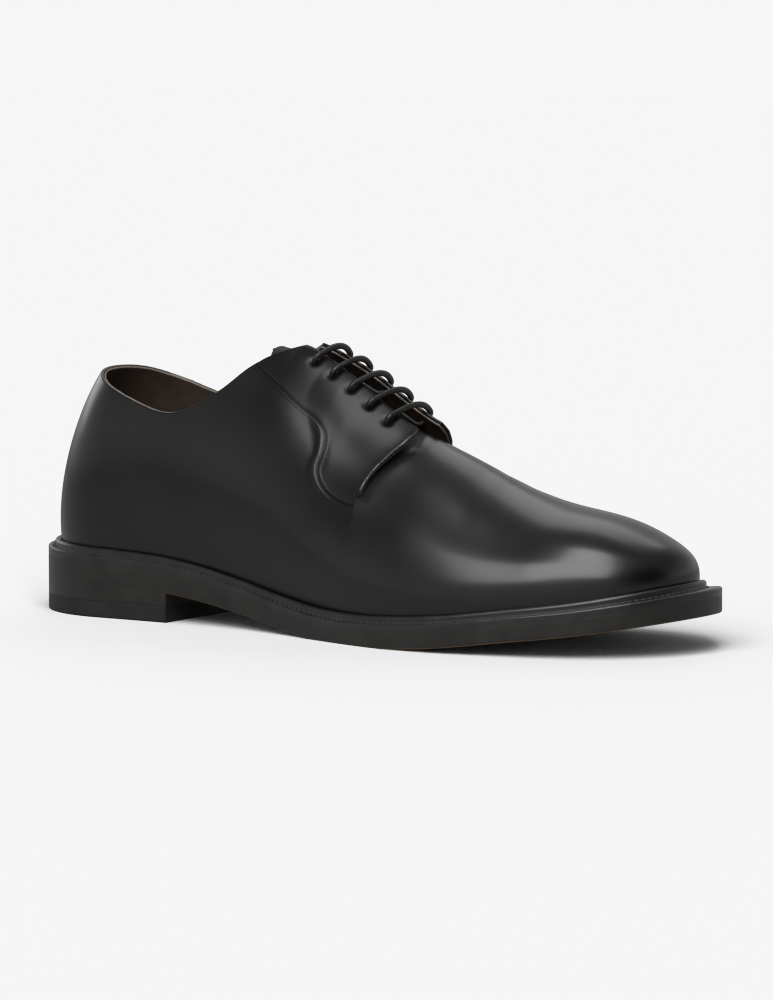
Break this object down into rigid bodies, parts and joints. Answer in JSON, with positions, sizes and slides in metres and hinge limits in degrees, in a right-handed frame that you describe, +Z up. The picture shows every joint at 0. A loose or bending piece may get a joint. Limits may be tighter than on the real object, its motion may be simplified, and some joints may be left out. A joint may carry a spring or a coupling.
{
  "type": "derby shoe",
  "caption": "Plain-toe leather derby for the right foot: hollow lasted upper with open lacing tabs, tongue, storm welt, leather outsole and low stacked heel.",
  "frame": {"origin": "on the ground, under the middle of the sole's length and width", "axes": "+X from heel to toe, -Y to the outer side of the foot, +Z up"},
  "size_m": [0.3084, 0.1084, 0.1141],
  "materials": {
    "upper": "polished black box calf",
    "tongue": "soft black calf",
    "insole": "dark brown sock leather",
    "welt": "waxed black storm welt",
    "outsole": "natural leather under a black burnished edge",
    "heel_stack": "black burnished leather lifts",
    "top_lift": "matt black rubber",
    "lace": "waxed round cotton"
  },
  "bodies": {
    "root": {"upper": "upper", "tongue": "tongue", "insole": "insole", "welt": "welt", "outsole": "outsole", "heel_stack": "heel_stack", "top_lift": "top_lift", "lace": "lace"}
  },
  "joints": []
}
